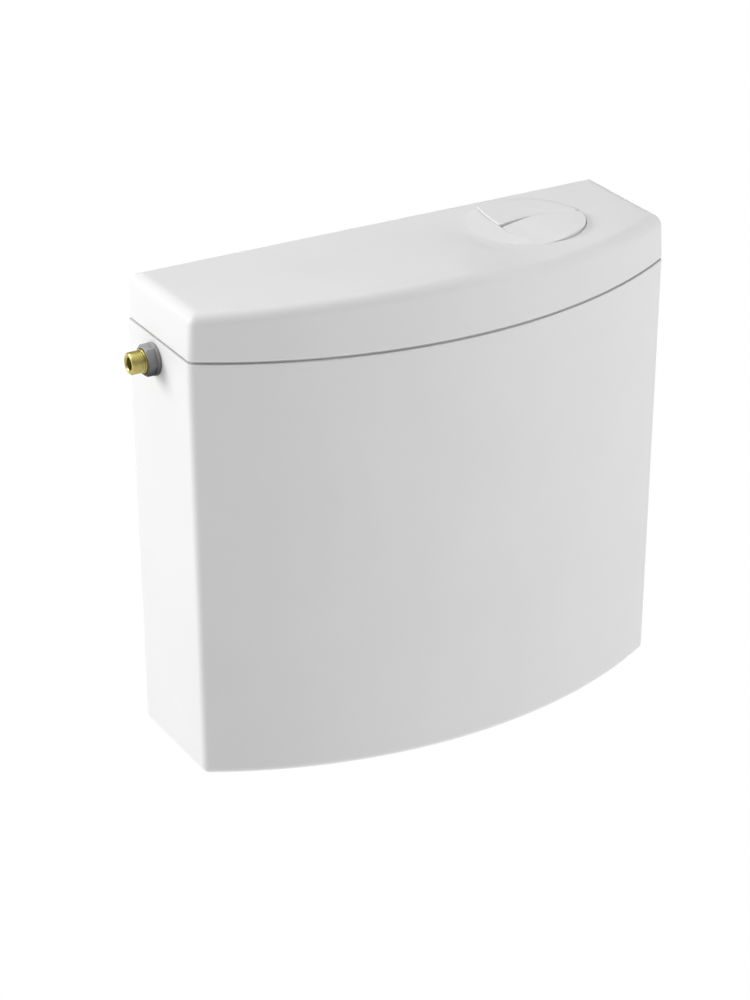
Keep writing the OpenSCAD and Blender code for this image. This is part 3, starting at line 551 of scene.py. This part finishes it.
def paint_joint_shade(obj):
    """Faces in the joint between tank and lid take a darker grey: painted shade in the groove."""
    obj.data.materials.append(JOINT_PAINTED_SHADE)
    low = place((0, 0, RIM_Z - JOINT_SHADE_W)).z
    high = place((0, 0, LID_FOOT + JOINT_SHADE_W)).z
    for face in obj.data.polygons:
        if low < face.center.z < high:
            face.material_index = 1


# Outline of tank and lid

def drawn_in(z, tank_draft):
    """How far a side stands in at height z, from where it is at the joint."""
    if z <= JOINT_H:
        return tank_draft * (1 - z / JOINT_H)
    return LID_DRAFT * (z - JOINT_H) / LID_H


def half_width(z):
    return TANK_W / 2 - drawn_in(z, SIDE_DRAFT)


def bow_circle(z):
    """Radius of the bowed front at height z, and the y of its centre."""
    depth = BOW - drawn_in(z, BOW_DRAFT)
    r = (half_width(z) ** 2 + depth ** 2) / (2 * depth)
    return r, r - SIDE_DEPTH - depth


def outline(z, inset):
    """Ring round the body at height z, drawn in by inset."""
    a = half_width(z) - inset
    bow_r, bow_y = bow_circle(z)
    r = bow_r - inset
    front_r = max(FRONT_R - inset, LEAST_R)
    rear_r = max(REAR_R - inset, LEAST_R)
    x = a - front_r
    y = bow_y - math.sqrt((r - front_r) ** 2 - x ** 2)
    turn = math.degrees(math.atan2(y - bow_y, x))
    rear = -inset - rear_r
    points = arc(a - rear_r, rear, rear_r, 0, 90, REAR_STEPS)
    points += flat((a - rear_r, -inset), (-a + rear_r, -inset))
    points += arc(-a + rear_r, rear, rear_r, 90, 180, REAR_STEPS)
    points += flat((-a, rear), (-a, y))
    points += arc(-x, y, front_r, 180, 180 - turn, FRONT_STEPS)
    points += arc(0, bow_y, r, 180 - turn, 360 + turn, BOW_STEPS)[1:-1]
    points += arc(x, y, front_r, 360 + turn, 360, FRONT_STEPS)
    points += flat((a, y), (a, rear))
    return [(px, py, z) for px, py in points]


# Tank body

def tank_shape():
    lip = WALL - LIP_T
    soft = EDGE_R / 2
    outside = spread(BASE_R + SUPPORT, RIM_Z - JOINT_R - SUPPORT, TANK_STEPS)
    inside = spread(RIM_Z - SUPPORT, FLOOR_T + BASE_R + SUPPORT, TANK_STEPS)
    profile = [(0, BASE_R + SUPPORT)]
    profile += fillet(0, 0, BASE_R, 1, 0, 90)
    profile += [(z, 0) for z in outside]
    profile += fillet(RIM_Z, 0, JOINT_R, -1, 90, 0)
    profile += [(RIM_Z, lip), (LID_FOOT - soft, lip), (LID_FOOT, lip + soft)]
    profile += [(LID_FOOT, WALL - soft), (LID_FOOT - soft, WALL)]
    profile += [(z, WALL) for z in inside]
    profile += fillet(FLOOR_T, WALL, BASE_R, 1, 90, 0)
    profile += [(FLOOR_T, WALL + BASE_R + SUPPORT)]
    return loft([outline(z, inset) for z, inset in profile])


def drill(r):
    return [(r, -DRILL_REACH), (r, DRILL_REACH)]


def at_wall(shape, side):
    """Turns a solid drawn along z to run from the wall plane to the front at a wall screw."""
    points, faces = shape
    return [(side * FIX_W / 2 + x, -z, FIX_H + y) for x, y, z in points], faces


def build_tank():
    tank = solid("tank_shell", tank_shape())
    boss_end = WALL + FIX_BOSS_T
    boss_profile = [(FIX_BOSS_R, WALL / 2), (FIX_BOSS_R, boss_end - EDGE_R)]
    boss_profile += [(FIX_BOSS_R - EDGE_R, boss_end)]
    for side in (-1, 1):
        boss = upright(0, 0, boss_profile)
        carve(tank, solid("boss", at_wall(boss, side)), "UNION")
        hole = upright(0, 0, drill(FIX_R))
        carve(tank, solid("hole", at_wall(hole, side)), "DIFFERENCE")
        way = level(side * TANK_W / 2, -INLET_Y, INLET_Z, drill(INLET_HOLE_R))
        carve(tank, solid("way", way), "DIFFERENCE")
    outlet = upright(0, -OUTLET_Y, drill(OUTLET_HOLE_R))
    carve(tank, solid("outlet", outlet), "DIFFERENCE")
    stand_in(tank, "tank_body")
    paint_joint_shade(tank)


# Button field: outlines as distances to its bounding circles, negative inside

def softer(a, b, soft):
    """The larger of two distances, with a rounded corner where they cross."""
    near = max(soft - abs(a - b), 0) / soft
    return max(a, b) + near * near * soft / 4


def circle_distance(x, y):
    return math.hypot(x, y) - PAD_R


def cut_distance(x, y):
    return math.hypot(x - CUT_R + PAD_CUT, y) - CUT_R


def split_distance(x, y):
    return math.hypot(x - SPLIT_X, y - SPLIT_RISE + SPLIT_R) - SPLIT_R


def field_distance(x, y):
    return softer(circle_distance(x, y), cut_distance(x, y), CORNER_SOFT)


def front_distance(x, y):
    return softer(field_distance(x, y), split_distance(x, y), CORNER_SOFT)


def rear_distance(x, y):
    return softer(field_distance(x, y), -split_distance(x, y), CORNER_SOFT)


def field_ring(distance, centre, inset):
    """Points where the distance is -inset, one on each ray from the centre."""
    cx, cy = centre
    points = []
    for turn in spread(0, 2 * math.pi, FIELD_STEPS)[:-1]:
        near, far = 0.0, 2 * PAD_R
        for _ in range(HALVINGS):
            middle = (near + far) / 2
            if distance(cx + middle * math.cos(turn), cy + middle * math.sin(turn)) < -inset:
                near = middle
            else:
                far = middle
        points.append((cx + near * math.cos(turn), cy + near * math.sin(turn)))
    return points


def crescent(y):
    """Left end of the field's circle at y, and the width from there to the buttons' left edge."""
    y = max(-PAD_R, min(PAD_R, y))
    left = -math.sqrt(PAD_R ** 2 - y ** 2)
    edge = CUT_R - PAD_CUT - math.sqrt(CUT_R ** 2 - y ** 2)
    return left, max(edge - left, 0.0)


def ramp_edge(y):
    """Height of the ramp where it meets the buttons: full in the middle, none at the corners."""
    return RAMP_RISE * eased(crescent(y)[1] / RAMP_SOFT)


def ramp_height(x, y):
    left, width = crescent(y)
    if width == 0:
        return 0.0
    return ramp_edge(y) * clamped((x - left) / width)


def on_pad(x, y, z):
    """A point of the button field, in the tank's frame."""
    return (PAD_X + x, -PAD_Y + y, z)


def ramp_ring(rim, mouth, share):
    """Ring of the ramp, at a share of the way from the field's rim to the buttons' mouth."""
    edge = EDGE_R / 2
    ring = []
    for (ax, ay), (bx, by) in zip(rim, mouth):
        x = ax + (bx - ax) * share
        y = ay + (by - ay) * share
        near = clamped(1 - field_distance(x, y) / edge)
        drop = edge * (1 - math.sqrt(1 - near * near))
        ring.append(on_pad(x, y, LID_TOP + ramp_height(x, y) - drop))
    return ring


def field_rings():
    """Rings of the lid's button field, from its rim over the ramp to the underside."""
    rim = field_ring(circle_distance, FIELD_CENTRE, -EDGE_R / 2)
    mouth = field_ring(field_distance, FIELD_CENTRE, 0)
    rings = [[on_pad(x, y, LID_TOP) for x, y in rim]]
    rings += [ramp_ring(rim, mouth, share) for share in spread(0, 1, RAMP_STEPS)[1:]]
    rings += [[on_pad(x, y, LID_UNDER) for x, y in mouth]]
    return rings


# Lid

def lid_profile():
    skirt = WALL + SKIRT_GAP
    inner = skirt + SKIRT_T
    foot = JOINT_H - SKIRT_H
    ledge = LID_FOOT + SKIRT_H
    soft = EDGE_R / 2
    side = spread(LID_TOP - LID_EDGE_R - SUPPORT, LID_FOOT + JOINT_R + SUPPORT, LID_STEPS)
    profile = [(LID_TOP, LID_EDGE_R + SUPPORT)]
    profile += fillet(LID_TOP, 0, LID_EDGE_R, -1, 0, 90)
    profile += [(z, 0) for z in side]
    profile += fillet(LID_FOOT, 0, JOINT_R, 1, 90, 0)
    profile += [(LID_FOOT, skirt), (foot + soft, skirt), (foot, skirt + soft)]
    profile += [(foot, inner - soft), (foot + soft, inner), (ledge, inner), (ledge, LID_T)]
    profile += fillet(LID_UNDER, LID_T, LID_EDGE_R - LID_T, -1, 90, 0)
    profile += [(LID_UNDER, LID_EDGE_R + SUPPORT)]
    return profile


def add_ring(bm, points):
    return [bm.verts.new(place(p)) for p in points]


def bridge(bm, low, high):
    n = len(low)
    for k in range(n):
        bm.faces.new((low[k], low[(k + 1) % n], high[(k + 1) % n], high[k]))


def fill_between(bm, outer, inner):
    edges = []
    for ring in (outer, inner):
        for k in range(len(ring)):
            edges.append(bm.edges.get((ring[k], ring[(k + 1) % len(ring)])))
    bmesh.ops.triangle_fill(bm, edges=edges, use_beauty=True)


def lid_shell():
    mesh = bpy.data.meshes.new("lid_shell")
    with edited(mesh) as bm:
        body = [add_ring(bm, outline(z, inset)) for z, inset in lid_profile()]
        field = [add_ring(bm, ring) for ring in field_rings()]
        for rings in (body, field):
            for low, high in zip(rings, rings[1:]):
                bridge(bm, low, high)
        fill_between(bm, body[0], field[0])
        fill_between(bm, body[-1], field[-1])
        bmesh.ops.recalc_face_normals(bm, faces=bm.faces)
    return add_object("lid_shell", mesh)


def rib_shape(x):
    left, right = x - RIB_T / 2, x + RIB_T / 2
    front, back = RIB_T - SIDE_DEPTH, -LID_T - LID_EDGE_R
    corners = [(left, front), (right, front), (right, back), (left, back)]
    heights = (LID_UNDER - RIB_H, LID_UNDER + LID_T / 2)
    return loft([[(px, py, z) for px, py in corners] for z in heights])


def crown(x, y):
    """Rise of the lid's surface: it swells towards the middle of the front, less so on the right,
    and spares the buttons."""
    side = max(0.0, 1 - (x / (TANK_W / 2)) ** 2)
    front = SIDE_DEPTH + BOW * side - LID_EDGE_R
    share = clamped((-y - CROWN_START) / (front - CROWN_START))
    clear = (circle_distance(x - PAD_X, y + PAD_Y) - EDGE_R / 2) / CROWN_CLEAR
    right = 1 - CROWN_LOSS * eased((x - CROWN_LOSS_X) / CROWN_LOSS_W + 0.5)
    return CROWN_RISE * right * side * share ** CROWN_POWER * eased(clear)


def part_cap(bm, z):
    """Cuts the wide faces at height z into small cells, so that they can follow the crown."""
    level_z = place((0, 0, z)).z
    across = range(-CELLS_ASIDE, CELLS_ASIDE + 1)
    cuts = [((i * CELL * MM, 0, 0), (1, 0, 0)) for i in across]
    cuts += [((0, -i * CELL * MM, 0), (0, 1, 0)) for i in range(1, CELLS_DEEP + 1)]
    for point, normal in cuts:
        faces = []
        for face in bm.faces:
            if all(abs(v.co.z - level_z) < LEVEL_PLAY * MM for v in face.verts):
                faces.append(face)
        edges = {e for f in faces for e in f.edges}
        verts = {v for f in faces for v in f.verts}
        bmesh.ops.bisect_plane(bm, geom=[*faces, *edges, *verts], plane_co=point, plane_no=normal)


def swell(mesh):
    """Lifts the lid's upper part by the crown, in full at the top and not at all at the foot."""
    with edited(mesh) as bm:
        part_cap(bm, LID_TOP)
        part_cap(bm, LID_UNDER)
        weld(bm)
        for vert in bm.verts:
            x, y, z = (c / MM for c in vert.co)
            share = clamped((z + FIX_H - LID_FOOT) / (LID_TOP - LID_EDGE_R - LID_FOOT))
            vert.co.z += crown(x, y) * share * MM


def build_lid():
    lid = lid_shell()
    for x in (-2 * RIB_PITCH, -RIB_PITCH, 0):
        carve(lid, solid("rib", rib_shape(x)), "UNION")
    swell(lid.data)
    stand_in(lid, "lid")
    paint_joint_shade(lid)


# Flush buttons

def full_top(x, y):
    """The front button falls gently to meet the ramp at its left edge."""
    low = ramp_edge(y) - FULL_DROP
    return LID_TOP + low + (BUTTON_RISE - low) * eased(-cut_distance(x, y) / FULL_SLOPE_L)


def part_top(x, y):
    """The rear button falls towards its rim, and dips under the front one at their right ends."""
    rim = max(0.0, 1 + circle_distance(x, y) / RIM_W)
    dip = max(0.0, 1 - split_distance(x, y) / DIP_W)
    return BUTTON_TOP - RIM_FALL * rim * rim - DIP * dip * dip * eased(x / DIP_FADE + DIP_START)


def stem_y(front):
    return -PAD_Y + STEM_DY + (-STEM_Y if front else STEM_Y)


def stem_shape(front):
    end = BUTTON_UNDER + STEM_BITE
    profile = [(PIN_R, STEM_FOOT), (STEM_R - EDGE_R, STEM_FOOT), (STEM_R, STEM_FOOT + EDGE_R)]
    profile += [(STEM_R, end), (PIN_R, end), (PIN_R, STEM_FOOT + PIN_DEEP)]
    return upright(PAD_X, stem_y(front), profile, joined=True)


def build_button(name, node, distance, centre, top, front):
    """A hollow button whose upper side has the height that top gives, and its stem."""

    def ring(inset, height):
        return [on_pad(x, y, height(x, y)) for x, y in field_ring(distance, centre, inset)]

    def flat_ring(inset, z):
        return [on_pad(x, y, z) for x, y in field_ring(distance, centre, inset)]

    def rim_ring(inset, drop):
        return [on_pad(x, y, top(x, y) - drop) for x, y in field_ring(distance, centre, inset)]

    def underside(x, y):
        return min(BUTTON_UNDER, top(x, y) - BUTTON_SKIN)

    core = -distance(*centre) * BUTTON_CORE
    hollow = BUTTON_GAP + BUTTON_T
    rings = []
    for inset in spread(core, BUTTON_GAP + BUTTON_EDGE_R + SUPPORT, BUTTON_STEPS):
        rings.append(ring(inset, top))
    for drop, inset in fillet(0, BUTTON_GAP, BUTTON_EDGE_R, 1, 0, 90):
        rings.append(rim_ring(inset, drop))
    rings.append(flat_ring(BUTTON_GAP, BUTTON_SKIRT + EDGE_R))
    rings.append(flat_ring(BUTTON_GAP + EDGE_R, BUTTON_SKIRT))
    rings.append(flat_ring(hollow, BUTTON_SKIRT))
    rings.append(ring(hollow, underside))
    rings.append(ring(core, underside))
    button = solid(name, loft(rings))
    carve(button, solid("stem", stem_shape(front)), "UNION")
    stand_in(button, node)


# Return springs

def build_spring(name, node, front):
    """A coil of wire whose ends run flat."""
    wire_r = SPRING_WIRE / 2
    high = BUTTON_UNDER - SPRING_FLOOR - SPRING_PLAY
    y0 = stem_y(front)
    count = SPRING_TURNS * SPRING_STEPS
    rings = []
    for i in range(-SPRING_END_STEPS, count + SPRING_END_STEPS + 1):
        turn = 2 * math.pi * SPRING_TURNS * i / count
        z = SPRING_FLOOR + SPRING_FOOT + (high - 2 * SPRING_FOOT) * clamped(i / count)
        if i < 0:
            z = SPRING_FLOOR + wire_r + (SPRING_FOOT - wire_r) * (1 + i / SPRING_END_STEPS)
        if i > count:
            rise = (SPRING_FOOT - wire_r) * (i - count) / SPRING_END_STEPS
            z = SPRING_FLOOR + high - SPRING_FOOT + rise
        ring = []
        for a in spread(0, 2 * math.pi, WIRE_STEPS)[:-1]:
            r = SPRING_R + wire_r * math.cos(a)
            x, y = PAD_X + r * math.cos(turn), y0 + r * math.sin(turn)
            ring.append((x, y, z + wire_r * math.sin(a)))
        rings.append(ring)
    spring = solid(name, loft(rings))
    stand_in(spring, node)
    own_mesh(spring)


# Water inlet

def about_inlet(x, radii):
    """Ring about the inlet's axis at x, with one radius for each point."""
    ring = []
    for r, turn in zip(radii, spread(0, 2 * math.pi, len(radii))):
        ring.append((x, -INLET_Y + r * math.sin(turn), INLET_Z + r * math.cos(turn)))
    return ring


def round_rings(profile, steps):
    """Round rings about the inlet's axis, from a profile of (radius, x)."""
    return [about_inlet(x, [r] * steps) for r, x in profile]


def hex_radii(r):
    """Radius r, cut back to the nut's six flats."""
    radii = []
    for turn in spread(0, 2 * math.pi, NUT_STEPS)[:-1]:
        away = math.fmod(turn + math.pi / 6, math.pi / 3) - math.pi / 6
        radii.append(min(r, NUT_FLAT_R / math.cos(away)))
    return radii


def build_nut():
    low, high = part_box("inlet_nut")
    face = high.x / MM
    end = low.x / MM
    brim = face - NUT_FLANGE_T
    flange = [(NUT_BORE_R, face), (NUT_FLANGE_R - EDGE_R, face), (NUT_FLANGE_R, face - EDGE_R)]
    flange += [(NUT_FLANGE_R - inward, brim + back) for inward, back in NUT_BRIM]
    hexagon = [(NUT_HEX_R, brim - NUT_STEP)]
    for share in spread(0, 1, NUT_BEVEL_STEPS):
        hexagon.append((NUT_HEX_R - NUT_BEVEL_W * share, end + NUT_BEVEL_H * (1 - share)))
    bore = [(NUT_BORE_R + EDGE_R, end), (NUT_BORE_R, end + EDGE_R)]
    rings = round_rings(flange, NUT_STEPS)
    rings += [about_inlet(x, hex_radii(r)) for r, x in hexagon]
    rings += round_rings(bore, NUT_STEPS)
    nut = solid("inlet_hex_nut", loft(rings, joined=True))
    # The nut's plastic darkens towards its underside: painted shade.
    plastic = painted_shade_downwards(NUT_PLASTIC, INLET_Z - PAINTED_SHADE_BELOW, INLET_Z + PAINTED_SHADE_ABOVE)
    stand_in(nut, "inlet_nut", plastic)


def thread_radii(along):
    """Radii of the thread at a distance along the tail."""
    phases = [math.fmod(along / THREAD_PITCH + k / SHANK_STEPS, 1.0) for k in range(SHANK_STEPS)]
    return [THREAD_R - THREAD_DEPTH * abs(2 * phase - 1) for phase in phases]


def build_shank():
    low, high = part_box("inlet_shank")
    tip = low.x / MM
    end = high.x / MM
    shoulder = tip + THREAD_L
    front = tip + SHANK_FLANGE_X
    back = front + SHANK_FLANGE_T
    groove_r = THREAD_R - THREAD_GROOVE
    mouth = [(SHANK_BORE_R, end - EDGE_R)]
    mouth += [(SHANK_BORE_R + outward, tip + along) for outward, along in MOUTH_INSIDE]
    mouth += [(THREAD_R - inward, tip + along) for inward, along in MOUTH_OUTSIDE]
    body = [(groove_r, shoulder - THREAD_GROOVE), (groove_r, shoulder)]
    body += [(SHANK_R - SHANK_EASE, shoulder), (SHANK_R, shoulder + SHANK_EASE), (SHANK_R, front)]
    body += [(SHANK_FLANGE_R - SHANK_EASE, front), (SHANK_FLANGE_R, front + SHANK_EASE)]
    body += [(SHANK_FLANGE_R, back - SHANK_EASE), (SHANK_FLANGE_R - SHANK_EASE, back)]
    body += [(SHANK_TAIL_R, back), (SHANK_TAIL_R, end - SHANK_END_EASE)]
    body += [(SHANK_TAIL_R - SHANK_END_EASE, end), (SHANK_BORE_R + EDGE_R, end)]
    rings = round_rings(mouth, SHANK_STEPS)
    for x in spread(tip + THREAD_START, shoulder - THREAD_STOP, THREAD_STEPS):
        rings.append(about_inlet(x, thread_radii(x - tip)))
    rings += round_rings(body, SHANK_STEPS)
    shank = solid("inlet_tail", loft(rings, joined=True))
    stand_in(shank, "inlet_shank")


# Pieces carried over from the model: eased edges and a material of their own

def ease_edges(obj, width):
    bevel = obj.modifiers.new("eased", "BEVEL")
    bevel.width = width * MM
    bevel.segments = 2
    bevel.limit_method = "ANGLE"
    bevel.angle_limit = EASED_ANGLE
    bevel.use_clamp_overlap = True


def dress_carried():
    for node, obj in frame["nodes"].items():
        if obj.hide_render:
            continue
        dress(obj, SLOT_MATERIALS[slot_of[node]])
        if node not in PLAIN_EDGES:
            ease_edges(obj, SMALL_EDGES.get(node, EASED_EDGE))
        shade(obj)


# Stage: pale floor and backdrop, soft light and the photograph's camera

def glowing(name):
    """Plain white that needs no light."""
    material = bpy.data.materials.new(name)
    material.use_nodes = True
    tree = material.node_tree
    tree.nodes.clear()
    glow = tree.nodes.new("ShaderNodeEmission")
    glow.inputs["Color"].default_value = WHITE
    glow.inputs["Strength"].default_value = 1.0
    out = tree.nodes.new("ShaderNodeOutputMaterial")
    tree.links.new(glow.outputs["Emission"], out.inputs["Surface"])
    return material


def build_floor():
    below = cad_box[0].z - FLOOR_DROP
    signs = ((-1, -1), (1, -1), (1, 1), (-1, 1))
    mesh = bpy.data.meshes.new("floor")
    corners = [(x * FLOOR_REACH, y * FLOOR_REACH, below) for x, y in signs]
    mesh.from_pydata(corners, [], [(0, 1, 2, 3)])
    floor = add_object("floor", mesh)
    dress(floor, glowing("pale_floor"))


def build_backdrop():
    """A wide white shell, seen only by the camera, in views that look past the floor."""
    mesh = bpy.data.meshes.new("backdrop")
    with edited(mesh) as bm:
        bmesh.ops.create_icosphere(bm, subdivisions=3, radius=BACKDROP_R)
    shell = add_object("backdrop", mesh)
    dress(shell, glowing("pale_backdrop"))
    shell.visible_diffuse = False
    shell.visible_glossy = False
    shell.visible_transmission = False
    shell.visible_shadow = False


def aim(obj, position, target):
    obj.location = position
    obj.rotation_euler = (target - Vector(position)).to_track_quat("-Z", "Y").to_euler()


def softbox(name, position, width, power):
    data = bpy.data.lights.new(name, "AREA")
    data.shape = "RECTANGLE"
    data.size = width
    data.size_y = width
    data.energy = power
    light = add_object(name, data)
    aim(light, position, LIGHT_AIM)
    light.visible_camera = False


def build_light():
    softbox("key", position=(-2.25, 1.5, 1.0), width=1.5, power=58)
    softbox("top", position=(0.0, -0.1, 2.4), width=2.4, power=40)
    softbox("fill", position=(2.2, -1.8, 0.4), width=2.0, power=23)
    world = bpy.data.worlds.new("studio")
    world.use_nodes = True
    around = world.node_tree.nodes["Background"]
    around.inputs["Color"].default_value = WHITE
    around.inputs["Strength"].default_value = AMBIENT
    bpy.context.scene.world = world
    bpy.context.scene.view_settings.view_transform = "Standard"


def build_camera():
    data = bpy.data.cameras.new("camera")
    data.lens = LENS
    data.sensor_width = SENSOR_W
    camera = add_object("camera", data)
    aim(camera, EYE, TARGET)
    bpy.context.scene.camera = camera


build_camera()
build_light()
build_floor()
build_backdrop()
build_tank()
build_lid()
build_button("full_button", "full_flush_button", front_distance, FULL_CENTRE, full_top, front=True)
build_button("part_button", "part_flush_button", rear_distance, PART_CENTRE, part_top, front=False)
build_spring("full_spring", "full_button_spring", front=True)
build_spring("part_spring", "part_button_spring", front=False)
build_nut()
build_shank()
dress_carried()
